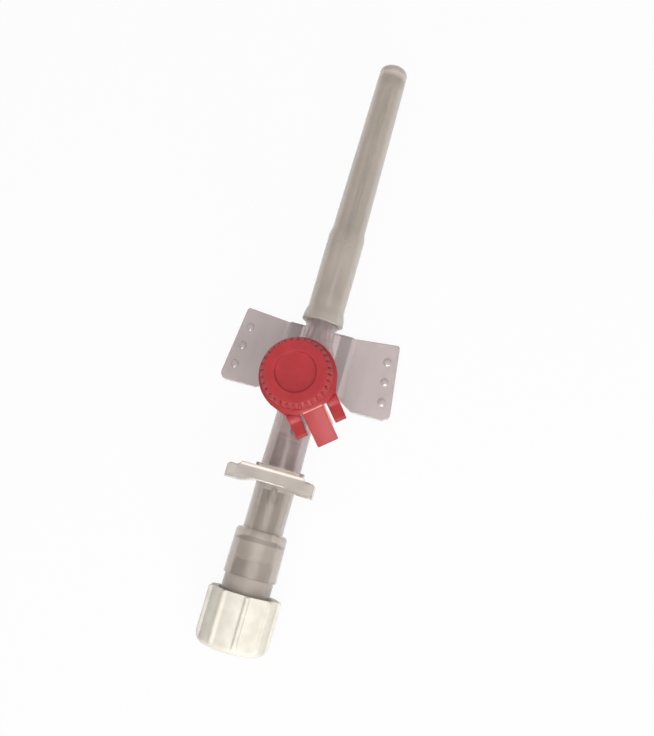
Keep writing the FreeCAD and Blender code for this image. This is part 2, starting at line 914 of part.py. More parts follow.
def make_needle_hub():
    """Male cone, keyed collar, finger grip, flash chamber and rear socket: one moulding."""
    body = new_body("needle_hub")
    front = hub_end + size.insert_length
    cone_root_r = size.luer_mouth / 2 - size.luer_gap
    socket_r = size.socket_od / 2
    turned(body, "disc_tube_and_socket", [
        (grip_front, 0),
        (grip_front, size.grip_disc_od / 2),
        (grip_back, size.grip_disc_od / 2),
        (grip_back, size.flash_od / 2),
        (socket_front, size.flash_od / 2),
        (socket_front, socket_r - size.socket_round, size.socket_round, 1),
        (socket_front - size.socket_round, socket_r),
        (socket_end, socket_r + size.socket_flare / 2),
        (socket_end, 0),
    ])

    def web(sketch):
        half = size.grip_disc_od / 2
        outline(sketch, [
            (-half, 0),
            (-size.grip_web_half, size.grip_bar_low),
            (size.grip_web_half, size.grip_bar_low),
            (half, 0),
        ])

    extruded(body, "grip_web", "XZ_Plane", size.grip_disc_thick, web, offset=-grip_front)
    extruded(body, "grip_bar", "XY_Plane", size.grip_bar_height, grip_bar_outline,
             offset=size.grip_bar_low)

    def bar_top(edge):
        top = size.grip_bar_low.value + size.grip_bar_height.value
        return edge.BoundBox.ZMin > top - 0.01

    dressed(body, "soft_bar", "PartDesign::Fillet", size.grip_edge_round, bar_top)
    collar_inner = size.barrel_tail_od / 2 + size.collar_gap
    turned(body, "keyed_collar", [
        (grip_front - size.face_gap, collar_inner),
        (grip_front - size.face_gap, collar_inner + size.collar_wall),
        (collar_front, collar_inner + size.collar_wall),
        (collar_front, collar_inner),
    ])
    key_half = size.lug_span / 2 * math.sin(math.radians(size.lug_angle.value / 2)) + size.key_gap

    def keyway(sketch):
        reach = size.grip_disc_od / 2
        outline(sketch, [(-reach, -key_half), (reach, -key_half), (reach, key_half),
                         (-reach, key_half)])

    extruded(body, "keyways", "XZ_Plane", size.collar_length + size.face_gap, keyway,
             offset=-collar_front - size.face_gap, cut=True, back=True)
    turned(body, "male_cone", [
        (front, 0),
        (front, luer_radius(size.insert_length) - size.luer_gap),
        (hub_end, cone_root_r),
        (grip_front - size.face_gap, cone_root_r),
        (grip_front - size.face_gap, 0),
    ])
    flash_front = grip_back - size.flash_floor
    boss_end = flash_front - size.flash_boss_length
    shaft_r = size.needle_od / 2 + size.bond_gap
    bored(body, "needle_bore", [
        (front, 0),
        (front, size.well_od / 2),
        (front - size.well_depth, shaft_r + size.bond_gap * 2),
        (front - size.well_depth, shaft_r),
        (boss_end, shaft_r),
        (boss_end, 0),
    ])
    cone_end = socket_end + size.socket_length - size.socket_wall - size.socket_cone
    bored(body, "flash_chamber", [
        (flash_front, size.flash_boss_od / 2),
        (flash_front, size.flash_bore / 2),
        (cone_end + size.socket_cone, size.flash_bore / 2),
        (cone_end, size.socket_bore / 2),
        (socket_end, size.socket_bore / 2),
        (socket_end, 0),
        (boss_end, 0),
        (boss_end, size.flash_boss_od / 2),
    ])
    port_place(body)
    return body


def make_flash_plug():
    """Plug of the flash chamber: filter seat in front, female luer lock behind."""
    body = new_body("flash_plug")
    insert_r = size.socket_bore / 2 - size.bond_gap
    neck_front = socket_end - size.face_gap
    turned(body, "plug", [
        (plug_front, 0),
        (plug_front, insert_r),
        (neck_front, insert_r),
        (neck_front, size.plug_neck_od / 2),
        (plug_neck_end, size.plug_neck_od / 2),
        (plug_neck_end, size.plug_tail_od / 2),
        (plug_end, size.plug_tail_od / 2),
        (plug_end, 0),
    ])
    lugs(body, "luer_lug", plug_end)
    luer_end = plug_end + size.plug_luer_depth
    seat_end_at = plug_front - size.filter_thick - size.face_gap
    bored(body, "luer_and_vent", [
        (plug_end, 0),
        (plug_end, size.luer_mouth / 2),
        (luer_end, luer_radius(size.plug_luer_depth)),
        (luer_end, size.vent_od / 2),
        (seat_end_at, size.vent_od / 2),
        (seat_end_at, size.filter_od / 2),
        (plug_front, size.filter_od / 2),
        (plug_front, 0),
    ])
    port_place(body)
    return body


def make_vent_filter():
    """Disc that lets air out of the flash chamber and keeps blood in."""
    body = new_body("vent_filter")
    rear = plug_front - size.filter_thick
    disc_r = size.filter_od / 2 - size.bond_gap
    turned(body, "disc", [(rear, 0), (rear, disc_r), (plug_front, disc_r), (plug_front, 0)])
    port_place(body)
    return body


def make_luer_stopper():
    """Ribbed cup with a closed male cone."""
    body = new_body("luer_stopper")
    cup_r = size.stopper_bore / 2
    root_r = size.stopper_root_od / 2
    rib_r = size.stopper_od / 2
    cone_front = stopper_floor + size.cone_length
    mouth_r = size.luer_mouth / 2 - size.luer_gap
    slope = size.luer_taper / 2
    cone_root_r = mouth_r + slope * size.stopper_floor_gap
    cone_tip_r = cone_root_r - slope * size.cone_length
    turned(body, "cup_and_cone", [
        (stopper_end, 0),
        (stopper_end, root_r),
        (stopper_front, root_r),
        (stopper_front, cup_r),
        (stopper_floor, cup_r),
        (stopper_floor, cone_root_r),
        (cone_front, cone_tip_r),
        (cone_front, size.cone_bore / 2),
        (stopper_floor, size.cone_bore / 2),
        (stopper_floor, 0),
    ])

    def rib(sketch):
        half = size.rib_width / 2
        outline(sketch, [(-half, (cup_r + root_r) / 2), (half, (cup_r + root_r) / 2),
                         (half, rib_r), (-half, rib_r)])

    one_rib = extruded(body, "rib", "XZ_Plane", stopper_front - stopper_end, rib,
                       offset=-stopper_front)
    ringed(body, "ribs", one_rib, "Y_Axis", size.rib_count)
    outside = rib_r + size.stopper_round
    bored(body, "rounded_end", [
        (stopper_end, rib_r - size.stopper_round, size.stopper_round, -1),
        (stopper_end + size.stopper_round, rib_r),
        (stopper_end + size.stopper_round, outside),
        (stopper_end - size.stopper_round, outside),
        (stopper_end - size.stopper_round, rib_r - size.stopper_round),
    ])
    port_place(body, size.rib_turn, axis=(0, 1, 0))
    return body


def make_needle_cover():
    """Long tapered sheath, flared at its mouth and closed at its tip."""
    body = new_body("needle_cover")
    mouth_r = size.cover_mouth_od / 2
    socket_r = size.cover_socket_od / 2
    socket_end_at = seat_start + size.cover_socket_length
    flare_end = cover_mouth + size.cover_flare
    bore_r = size.seat_od / 2 + size.slide_gap
    bore_end = cover_tip - size.cover_end_wall
    turned(body, "sheath", [
        (cover_mouth, size.throat_od / 2 + size.cover_mouth_gap),
        (cover_mouth, mouth_r - size.cover_lip),
        (cover_mouth + size.cover_lip, mouth_r),
        (cover_mouth + size.cover_flare_round, mouth_r - size.cover_flare_fall),
        (flare_end, socket_r),
        (socket_end_at, socket_r),
        (socket_end_at + size.cover_step, size.cover_shaft_od / 2),
        (cover_tip - size.cover_tip_round, size.cover_tip_od / 2, size.cover_tip_round, -1),
        (cover_tip, size.cover_tip_od / 2 - size.cover_tip_round),
        (cover_tip, 0),
        (bore_end, 0),
        (bore_end, size.cover_tip_od / 2 - size.cover_wall),
        (socket_end_at + size.cover_step, size.cover_shaft_od / 2 - size.cover_wall),
        (socket_end_at, bore_r),
        (seat_start, bore_r),
    ])
    port_place(body)
    return body


PIECES = [
    make_catheter_hub,
    make_catheter_tube,
    make_fixing_bush,
    make_injection_valve,
    make_port_ring,
    make_port_cap,
    make_needle,
    make_needle_bond,
    make_needle_hub,
    make_flash_plug,
    make_vent_filter,
    make_luer_stopper,
    make_needle_cover,
]

bodies = [make() for make in PIECES]
doc.recompute()

for thing in doc.Objects:
    if "Invalid" in thing.State or "Error" in thing.State:
        raise RuntimeError(f"{thing.Name} failed to build: {thing.State}")
for body in bodies:
    if body.Shape.isNull() or not body.Shape.isValid():
        raise RuntimeError(f"{body.Label} has no valid shape")
    if len(body.Shape.Solids) != 1:
        raise RuntimeError(f"{body.Label} has {len(body.Shape.Solids)} solids")

os.makedirs("parts", exist_ok=True)
for body in bodies:
    body.Shape.exportStep(os.path.join("parts", body.Label + ".step"))
    box = body.Shape.BoundBox
    print(f"{body.Label:16s} X {box.XMin:7.2f} {box.XMax:7.2f}  Y {box.YMin:7.2f} {box.YMax:7.2f}"
          f"  Z {box.ZMin:6.2f} {box.ZMax:6.2f}  volume {body.Shape.Volume:9.3f}")
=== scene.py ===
"""Looks of a ported, winged intravenous cannula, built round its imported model.

Lengths are metres. Pieces of revolution are drawn as outlines of (along, radius) pairs
measured from the port axis, which is how the moulds of such parts are drawn.
"""

import json
import math
from typing import NamedTuple

import bmesh
import bpy
from bpy.props import FloatProperty, FloatVectorProperty, IntProperty, PointerProperty
from mathutils import Matrix, Vector


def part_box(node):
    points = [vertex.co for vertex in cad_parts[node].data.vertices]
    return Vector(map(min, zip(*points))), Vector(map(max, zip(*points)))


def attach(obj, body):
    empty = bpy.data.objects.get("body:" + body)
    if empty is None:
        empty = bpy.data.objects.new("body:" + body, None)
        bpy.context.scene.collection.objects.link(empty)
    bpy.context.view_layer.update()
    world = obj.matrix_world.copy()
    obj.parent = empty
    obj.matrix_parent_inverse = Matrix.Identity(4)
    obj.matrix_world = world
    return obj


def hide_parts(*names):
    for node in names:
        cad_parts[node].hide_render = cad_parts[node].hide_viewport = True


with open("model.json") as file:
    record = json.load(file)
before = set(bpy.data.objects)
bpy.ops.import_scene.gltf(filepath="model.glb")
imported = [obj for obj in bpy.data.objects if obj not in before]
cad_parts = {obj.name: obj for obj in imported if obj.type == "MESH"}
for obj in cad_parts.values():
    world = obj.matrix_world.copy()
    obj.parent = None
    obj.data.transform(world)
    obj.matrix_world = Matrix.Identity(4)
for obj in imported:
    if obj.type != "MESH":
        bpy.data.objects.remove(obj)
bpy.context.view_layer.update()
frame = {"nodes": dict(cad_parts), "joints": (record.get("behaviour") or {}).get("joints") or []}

bl_info = {
    "name": "Ported cannula looks",
    "version": (1, 0, 0),
    "blender": (4, 5, 0),
    "location": "View3D > Sidebar > Cannula",
    "description": "Dresses the packed cannula with moulded pieces, finishes and a stage",
    "category": "Object",
}

MM = 0.001
END_ROUND = 0.12 * MM
STEPS_ROUND = 128
STEPS_A_TOOTH = 18
STEPS_A_RIB = 48
JOINTS = {joint["name"]: joint for joint in frame["joints"]}
PORT = Vector(JOINTS["port_swivel"]["pos_m"])
FOLD = Vector(JOINTS["lid_hinge"]["pos_m"])
FOLD_AXIS = Vector(JOINTS["lid_hinge"]["axis"])
LID_TURN = math.atan2(FOLD_AXIS.y, FOLD_AXIS.x)
FOLD_REACH = math.hypot(FOLD.x - PORT.x, FOLD.y - PORT.y)


def middle(node):
    """Middle of a CAD node's box."""
    low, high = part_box(node)
    return (low + high) / 2


AXIS_HEIGHT = middle("needle").z
LID_PLACE = Matrix.Translation((PORT.x, PORT.y, 0)) @ Matrix.Rotation(LID_TURN, 4, "Z")
HUB_FRONT = Matrix.Rotation(-math.pi / 2, 4, "X")
HUB_PLACE = Matrix.Translation((PORT.x, PORT.y, AXIS_HEIGHT)) @ HUB_FRONT


def along_hub(node):
    """Where a CAD node starts and ends along the hub axis, measured from the port axis."""
    low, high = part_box(node)
    return low.y - PORT.y, high.y - PORT.y


def smooth_step(value, low, high):
    """0 below low, 1 above high and an even S between them."""
    share = min(max((value - low) / (high - low), 0.0), 1.0)
    return share * share * (3 - 2 * share)


# Meshes


def filleted(corners, steps=5):
    """Points of an open outline whose corners (x, y, radius) are rounded off with arcs."""
    points = []
    for i, corner in enumerate(corners):
        here = Vector(corner[:2])
        if len(corner) == 2 or i in (0, len(corners) - 1):
            points.append(here)
            continue
        to_last = Vector(corners[i - 1][:2]) - here
        to_next = Vector(corners[i + 1][:2]) - here
        turn = to_last.angle(to_next)
        room = min(to_last.length, to_next.length) / 2
        cut = min(corner[2] / math.tan(turn / 2), room)
        start = here + to_last.normalized() * cut
        end = here + to_next.normalized() * cut
        radius = cut * math.tan(turn / 2)
        towards = (to_last.normalized() + to_next.normalized()).normalized()
        centre = here + towards * (radius / math.sin(turn / 2))
        from_centre = start - centre
        sweep = from_centre.angle_signed(end - centre)
        for step in range(steps + 1):
            angle = -sweep * step / steps
            points.append(centre + Matrix.Rotation(angle, 2) @ from_centre)
    return points


def new_piece(name, mesh, finish):
    """Put a mesh into the scene under its name, with its finish."""
    piece = bpy.data.objects.new(name, mesh)
    bpy.context.scene.collection.objects.link(piece)
    piece.data.materials.append(finish)
    return piece


def add_lathe(mesh, outline, turns, place, wave=None):
    """Revolve an outline of (along, radius) about the local Z axis and put it in place.
    wave(angle, along, radius) may return another radius, for ribs and knurls."""
    rows = []
    for along, radius in outline:
        if radius < 1e-9:
            rows.append([mesh.verts.new(place @ Vector((0, 0, along)))])
            continue
        row = []
        for step in range(turns):
            angle = 2 * math.pi * step / turns
            r = wave(angle, along, radius) if wave else radius
            spot = Vector((r * math.cos(angle), r * math.sin(angle), along))
            row.append(mesh.verts.new(place @ spot))
        rows.append(row)
    for first, second in zip(rows, rows[1:]):
        if len(first) == 1 and len(second) == 1:
            continue
        for step in range(turns):
            following = (step + 1) % turns
            if len(first) == 1:
                corners = (first[0], second[following], second[step])
            elif len(second) == 1:
                corners = (first[step], first[following], second[0])
            else:
                corners = (first[step], first[following], second[following], second[step])
            mesh.faces.new(corners)


def divided(outline, longest):
    """The outline with points added so that no step is longer than the given length."""
    points = [outline[0]]
    for before, after in zip(outline, outline[1:]):
        steps = max(1, math.ceil((after - before).length / longest))
        points += [before.lerp(after, step / steps) for step in range(1, steps + 1)]
    return points


def rounded_box(half_x, half_y, round_off, steps=4):
    """Outline of a rectangle with rounded corners, centred on the origin."""
    section = []
    for number, (side_x, side_y) in enumerate(((1, 1), (-1, 1), (-1, -1), (1, -1))):
        centre = Vector((side_x * (half_x - round_off), side_y * (half_y - round_off)))
        for step in range(steps + 1):
            angle = math.radians(90 * number + 90 * step / steps)
            section.append(centre + Vector((math.cos(angle), math.sin(angle))) * round_off)
    return section


def add_skin(mesh, rows):
    """Faces between closed rows of points of the same length, with both ends closed."""
    rows = [[mesh.verts.new(point) for point in row] for row in rows]
    for first, second in zip(rows, rows[1:]):
        for step in range(len(first)):
            following = (step + 1) % len(first)
            mesh.faces.new((first[step], first[following], second[following], second[step]))
    mesh.faces.new(list(reversed(rows[0])))
    mesh.faces.new(rows[-1])


def add_swept(mesh, path, section, place):
    """Sweep section(share, inset), a closed outline of (across, up) points, along points of
    the local YZ plane. The ends are rounded by insets of up to END_ROUND."""
    rows = []
    lengths = [0.0]
    for before, after in zip(path, path[1:]):
        lengths.append(lengths[-1] + (after - before).length)
    for i, point in enumerate(path):
        along = (path[min(i + 1, len(path) - 1)] - path[max(i - 1, 0)]).normalized()
        normal = Vector((0, -along.z, along.y))
        if normal.z < 0:
            normal = -normal
        insets = [(0.0, 0.0)]
        if i in (0, len(path) - 1):
            outward = -along if i == 0 else along
            turns = [math.radians(angle) for angle in (15, 45, 75)]
            insets = [
                (END_ROUND * (1 - math.cos(turn)), END_ROUND * math.sin(turn)) for turn in turns
            ]
            insets = insets[::-1] if i == 0 else insets
        for inset, push in insets:
            here = point + (outward * (push - END_ROUND) if push else Vector((0, 0, 0)))
            spots = section(lengths[i] / lengths[-1], inset)
            rows.append([place @ (here + Vector((1, 0, 0)) * x + normal * up) for x, up in spots])
    add_skin(mesh, rows)


def bent_path(corners, longest=0.4 * MM):
    """Points of the local YZ plane along filleted (along, height) corners."""
    return [Vector((0, spot.x, spot.y)) for spot in divided(filleted(corners), longest)]


def add_bar(mesh, centre, length, radius, place, steps=20):
    """A round bar along the local X axis."""
    rows = []
    for across in (-length / 2, length / 2):
        rows.append([
            place @ (centre + Vector((across, radius * math.cos(a), radius * math.sin(a))))
            for a in (2 * math.pi * step / steps for step in range(steps))
        ])
    add_skin(mesh, rows)


def add_plate(mesh, corners, low, high, place):
    """A flat plate with the given corners (x, y) between two heights."""
    add_skin(mesh, [[place @ Vector((x, y, height)) for x, y in corners] for height in (low, high)])


def finished_mesh(name, mesh, sharp=35):
    """Turn a bmesh into a mesh with outward faces and smooth shading below an angle."""
    bmesh.ops.recalc_face_normals(mesh, faces=mesh.faces)
    data = bpy.data.meshes.new(name)
    mesh.to_mesh(data)
    mesh.free()
    data.shade_smooth()
    data.set_sharp_from_angle(angle=math.radians(sharp))
    return data


# Zones of painted light and shade on the skins


class Zones(NamedTuple):
    """How the painted light and shade on a skin, and its clearness, change along one axis, as
    pairs of a place and the value there. A painted light and shade value above 1 lightens the
    skin's colour and one below 1 darkens it. Places are in millimetres from the port axis,
    along the hub for "Y" and to both sides for "X"."""

    axis: str
    painted_light_and_shade: tuple
    clears: tuple = ()


# Across: barrel, web, bevel and wing. Along: the rear lugs. All are painted light and shade:
# the barrel lighter, the web darker, a painted highlight on the bevel, the wings darker, and
# painted light on the lugs, which lie in shade.
HUB_ZONES = (
    Zones("X",
          painted_light_and_shade=((3.0, 1.18), (3.3, 0.67), (5.0, 0.69), (5.2, 1.05), (5.4, 1.05), (6.0, 0.87)),
          clears=((3.2, 0.8), (3.6, 0.5), (7.0, 0.45))),
    Zones("Y", painted_light_and_shade=((-13.3, 1.5), (-13.0, 1.0))),
)
# Line by line: rim of the male cone, cone, collar, finger grip, flash chamber and socket.
# The values are painted light and shade: painted light on the rim and on the collar, which
# lies in shade, and painted shade on the cone, the finger grip, the flash chamber and the socket.
GRIP_ZONES = (
    Zones("Y",
          painted_light_and_shade=((-8.0, 1.35), (-8.8, 1.35),
                  (-8.9, 0.68), (-13.3, 0.68),
                  (-13.4, 1.25), (-14.4, 1.25),
                  (-14.5, 0.72), (-16.0, 0.72),
                  (-16.6, 0.70), (-23.1, 0.74),
                  (-23.2, 0.86), (-30.0, 0.84)),
          clears=((-8.0, 0.2), (-8.8, 0.2),
                  (-8.9, 0.8), (-13.3, 0.8),
                  (-13.4, 0.2), (-14.4, 0.2),
                  (-14.6, 0.35), (-16.0, 0.4),
                  (-16.6, 0.8), (-22.6, 0.8),
                  (-23.2, 0.73), (-30.0, 0.73))),
)
# Line by line: mouth, socket, shaft, end of the bore and end wall. The values are painted
# light and shade: the mouth, socket and end wall painted lighter, the shaft a little darker
# and the end of the bore painted darker.
COVER_ZONES = (
    Zones("Y",
          painted_light_and_shade=((10.4, 1.09), (12.6, 1.07),
                  (15.0, 1.02), (22.0, 1.02),
                  (26.0, 0.97), (40.0, 1.0), (51.2, 1.02),
                  (51.9, 0.92), (53.3, 0.9),
                  (53.9, 1.04), (55.4, 1.04)),
          clears=((10.4, 0.6), (12.6, 0.6),
                  (15.0, 0.66),
                  (26.0, 0.7),
                  (53.3, 0.7),
                  (53.9, 0.5), (55.4, 0.5))),
)


# Finishes


class Finish:
    """A material whose Principled sockets are fed by textures in the object's own space."""

    def __init__(self, name, roughness=0.4, ior=1.5):
        self.material = bpy.data.materials.new(name)
        self.material.use_nodes = True
        self.tree = self.material.node_tree
        self.nodes = self.tree.nodes
        self.shader = self.nodes["Principled BSDF"]
        self.shader.inputs["Roughness"].default_value = roughness
        self.shader.inputs["IOR"].default_value = ior
        self.place = self.nodes.new("ShaderNodeTexCoord").outputs["Object"]

    def link(self, source, target):
        """Feed a socket from an output."""
        self.tree.links.new(source, target)

    def noise(self, grain, detail=3.0, stretch=(1, 1, 1)):
        """Noise whose blobs are about one grain wide, stretched along the axes."""
        mapping = self.nodes.new("ShaderNodeMapping")
        mapping.inputs["Scale"].default_value = [1 / s for s in stretch]
        self.link(self.place, mapping.inputs["Vector"])
        texture = self.nodes.new("ShaderNodeTexNoise")
        texture.inputs["Scale"].default_value = 1 / grain
        texture.inputs["Detail"].default_value = detail
        self.link(mapping.outputs["Vector"], texture.inputs["Vector"])
        return texture.outputs["Fac"]

    def between(self, factor, low, high, start=0.35, end=0.65):
        """Colours blended by a factor that runs from start to end."""
        ramp = self.nodes.new("ShaderNodeValToRGB")
        ramp.color_ramp.elements[0].position = start
        ramp.color_ramp.elements[1].position = end
        ramp.color_ramp.elements[0].color = (*low, 1)
        ramp.color_ramp.elements[1].color = (*high, 1)
        self.link(factor, ramp.inputs["Fac"])
        return ramp.outputs["Color"]

    def ranged(self, factor, low, high, start=0.3, end=0.7):
        """A number that runs from low to high as the factor goes from start to end."""
        rule = self.nodes.new("ShaderNodeMapRange")
        rule.inputs["From Min"].default_value = start
        rule.inputs["From Max"].default_value = end
        rule.inputs["To Min"].default_value = low
        rule.inputs["To Max"].default_value = high
        self.link(factor, rule.inputs["Value"])
        return rule.outputs["Result"]

    def zoned(self, axis, stops):
        """A number that changes along the hub ("Y") or away from its axis on both sides ("X"),
        from pairs of a place, in millimetres from the port axis, and the number there."""
        parts = self.nodes.new("ShaderNodeSeparateXYZ")
        self.link(self.place, parts.inputs["Vector"])
        place = self.nodes.new("ShaderNodeMath")
        self.link(parts.outputs[axis], place.inputs[0])
        if axis == "X":
            place.operation = "ABSOLUTE"
        else:
            place.operation = "SUBTRACT"
            place.inputs[1].default_value = PORT.y
        first = stops[0][0] * MM
        reach = stops[-1][0] * MM - first
        share = self.ranged(place.outputs["Value"], 0, 1, first, first + reach)
        ramp = self.nodes.new("ShaderNodeValToRGB")
        spots = ramp.color_ramp.elements
        while len(spots) < len(stops):
            spots.new(0.5)
        for spot, (here, number) in zip(spots, stops):
            spot.position = (here * MM - first) / reach
            spot.color = (number, number, number, 1)
        self.link(share, ramp.inputs["Fac"])
        return ramp.outputs["Color"]

    def shaded(self, source, factor):
        """A colour multiplied by a factor."""
        product = self.nodes.new("ShaderNodeMix")
        product.data_type = "RGBA"
        product.blend_type = "MULTIPLY"
        product.inputs["Factor"].default_value = 1.0
        colours = [socket for socket in product.inputs if socket.type == "RGBA"]
        self.link(source, colours[0])
        self.link(factor, colours[1])
        return next(socket for socket in product.outputs if socket.type == "RGBA")

    def colour(self, source):
        """Feed the base colour."""
        self.link(source, self.shader.inputs["Base Color"])

    def rough(self, source):
        """Feed the roughness."""
        self.link(source, self.shader.inputs["Roughness"])

    def bumps(self, *layers):
        """Stack bumps, each a (height source, depth) pair."""
        normal = None
        for height, depth in layers:
            bump = self.nodes.new("ShaderNodeBump")
            bump.inputs["Distance"].default_value = depth
            self.link(height, bump.inputs["Height"])
            if normal is not None:
                self.link(normal, bump.inputs["Normal"])
            normal = bump.outputs["Normal"]
        self.link(normal, self.shader.inputs["Normal"])


def tinted(colour, factor):
    """A colour made darker or lighter by a factor."""
    return tuple(min(channel * factor, 1.0) for channel in colour)


def translucent_plastic(name, skin, tint, clearness, roughness, murk, zones=()):
    """Moulded plastic: light is blurred through its skin and dimmed by its depth. Zones paint
    light and shade into its skin's colour by place, and take the place of its clearness where
    they give their own."""
    finish = Finish(name, ior=1.46)
    finish.shader.inputs["Transmission Weight"].default_value = clearness
    finish.shader.inputs["Coat Weight"].default_value = 0.7
    finish.shader.inputs["Coat Roughness"].default_value = 0.14
    finish.shader.inputs["Sheen Weight"].default_value = 0.25
    finish.shader.inputs["Sheen Roughness"].default_value = 0.3
    finish.shader.inputs["Sheen Tint"].default_value = (1, 0.98, 0.95, 1)
    clouds = finish.noise(3 * MM, stretch=(1, 2.5, 1))
    grain = finish.noise(0.4 * MM)
    milk = finish.between(clouds, tinted(skin, 0.95), tinted(skin, 1.03))
    # Painted light and shade: each zone multiplies the skin's colour by place.
    for zone in zones:
        milk = finish.shaded(milk, finish.zoned(zone.axis, zone.painted_light_and_shade))
        if zone.clears:
            clear = finish.zoned(zone.axis, zone.clears)
            finish.link(clear, finish.shader.inputs["Transmission Weight"])
    finish.colour(milk)
    finish.rough(finish.ranged(grain, roughness - 0.03, roughness + 0.05))
    finish.bumps((clouds, 0.03 * MM))
    depth = finish.nodes.new("ShaderNodeVolumeAbsorption")
    depth.inputs["Color"].default_value = (*tint, 1)
    depth.inputs["Density"].default_value = murk
    output = finish.nodes["Material Output"]
    finish.link(depth.outputs["Volume"], output.inputs["Volume"])
    return finish.material


def solid_plastic(name, colour, roughness, depth, softness):
    """Opaque moulded plastic with a little light under its skin."""
    finish = Finish(name, ior=1.5)
    finish.shader.inputs["Subsurface Weight"].default_value = softness
    finish.shader.inputs["Subsurface Radius"].default_value = (depth, depth * 0.5, depth * 0.4)
    finish.shader.inputs["Subsurface Scale"].default_value = 1.0
    clouds = finish.noise(1.8 * MM)
    grain = finish.noise(0.16 * MM, detail=5)
    finish.colour(finish.between(clouds, tinted(colour, 0.93), tinted(colour, 1.05)))
    finish.rough(finish.ranged(grain, roughness - 0.06, roughness + 0.08))
    finish.bumps((grain, 0.006 * MM), (clouds, 0.015 * MM))
    return finish.material


def steel(name, colour, roughness):
    """Drawn stainless steel, with its draw lines along the hub axis."""
    finish = Finish(name, ior=2.5)
    finish.shader.inputs["Metallic"].default_value = 1.0
    lines = finish.noise(0.05 * MM, detail=2, stretch=(1, 60, 1))
    finish.colour(finish.between(lines, tinted(colour, 0.9), tinted(colour, 1.06)))
    finish.rough(finish.ranged(lines, roughness - 0.05, roughness + 0.1))
    finish.bumps((lines, 0.001 * MM))
    return finish.material


# Settings


def colour(name, about, red, green, blue):
    """A colour setting with its default."""
    return FloatVectorProperty(
        name=name, description=about, subtype="COLOR", size=3, min=0, max=1,
        default=(red, green, blue))


class CannulaColours(bpy.types.PropertyGroup):
    """Colours of the mouldings, linear light: skins, and the tints seen through them."""

    hub: colour("Hub skin", "Skin of the winged hub", 0.70, 0.61, 0.605)
    hub_tint: colour("Hub tint", "Lilac-grey depth of the hub", 0.60, 0.50, 0.48)
    cover: colour("Cover skin", "Skin of the needle cover", 0.76, 0.695, 0.625)
    cover_tint: colour("Cover tint", "Warm grey depth of the cover", 0.60, 0.54, 0.46)
    grip: colour("Grip skin", "Skin of the needle hub and its finger grip", 0.84, 0.76, 0.69)
    grip_tint: colour("Grip tint", "Beige depth of the needle hub", 0.60, 0.52, 0.46)
    plug: colour("Plug skin", "Skin of the flash plug", 0.66, 0.58, 0.52)
    lid: colour("Lid", "Red flip lid and swivel ring", 0.39, 0.036, 0.042)
    # The lid edge colour is a painted highlight: a paler red on the thumb tab's beads.
    lid_edge_highlight: colour("Lid edge", "Pale beads on the edges of the thumb tab", 0.72, 0.27, 0.24)
    stopper: colour("Stopper", "Cream-white ribbed stopper", 0.71, 0.67, 0.59)
    catheter: colour("Catheter", "Soft catheter tube", 0.80, 0.80, 0.78)
    steel: colour("Steel", "Needle and fixing bush", 0.60, 0.59, 0.58)


def length(name, about, millimetres):
    """A length setting whose default is given in millimetres."""
    return FloatProperty(
        name=name, description=about, unit="LENGTH", precision=5, default=millimetres * MM)


class LidSizes(bpy.types.PropertyGroup):
    """Sizes of the flip lid."""

    height: length("Lid height", "From its rim to its crown", 6.0)
    wall: length("Wall diameter", "Across the plain wall under the knurl", 10.4)
    crown: length("Crown diameter", "Across the flat top inside the knurl", 9.25)
    skirt: length("Skirt diameter", "Across the rim under the flange", 10.0)
    skirt_height: length("Skirt height", "From the rim to the flange", 2.1)
    flange: length("Flange diameter", "Across the flange", 11.6)
    flange_height: length("Flange thickness", "Thickness of the flange's edge", 0.6)
    flange_slope: length("Flange slope", "Height of its sloping top", 0.35)
    flange_flat: length("Flange flat", "From the axis to the flat over the thumb tab", 5.4)
    gusset_half: length("Gusset spread", "Half width where the strap gussets start", 5.4)
    gusset_start: length("Gusset start", "From the axis to where the gussets start", 2.2)
    gusset_end: length("Gusset end", "From the axis to where the gussets meet the arms", 4.6)
    bore: length("Lid bore", "Across the cavity over the port stem", 8.4)
    roof: length("Roof thickness", "Thickness of the crown", 1.55)
    recess: length("Recess diameter", "Across the round recess in the crown, left bare", 6.05)
    recess_depth: length("Recess depth", "Depth of the round recess", 0.55)
    plug_root: length("Plug root", "Across the root of the sealing plug", 3.4)
    plug_tip: length("Plug tip", "Across the tip of the sealing plug", 1.8)
    plug_length: length("Plug length", "Length of the sealing plug", 1.0)
    knurl_height: length("Knurl height", "Height of the teeth under the crown", 1.0)
    knurl_foot: length("Knurl foot", "Upright foot of each tooth", 0.25)
    tab_width: length("Tab width", "Width of the thumb tab", 3.3)
    tab_thick: length("Tab thickness", "Thickness of the thumb tab", 0.55)
    tab_root: length("Tab root", "From the axis to the bend of the tab", 5.5)
    tab_reach: length("Tab reach", "From the axis to the end of the tab", 10.3)
    tab_drop: length("Tab drop", "From the bend of the tab to its end", 3.8)
    tab_bevel: length("Tab bevel", "Width of the bevel at the tab's root", 0.5)
    # The ridge and the bead are coloured with a painted highlight.
    ridge: length("Ridge", "Thickness of the pale bead across the tab's root", 0.32)
    bead: length("Bead", "Thickness of the pale bead along the tab's right edge", 0.4)
    knurl_count: IntProperty(
        name="Knurl teeth", description="Teeth round the crown", min=3, default=32)


class StrapSizes(bpy.types.PropertyGroup):
    """Sizes of the swivel ring and of the folded strap between it and the lid."""

    ring: length("Ring diameter", "Across the swivel ring", 9.2)
    ring_bore: length("Ring bore", "Across the hole round the stem", 5.5)
    root_width: length("Strap root", "Width of each strap at its root", 1.95)
    width: length("Strap width", "Width of each strap at the fold", 1.8)
    thick: length("Strap thickness", "Thickness of each strap", 0.8)
    spread: length("Strap spread", "Between the middles of the two straps", 6.24)
    fold: length("Fold", "From the hinge line to the faces of the straps", 0.1)
    fold_bar: length("Fold bar", "Thickness of the round bar on the hinge line", 0.28)
    soft: length("Edge rounding", "Rounding of the straps' edges", 0.15)


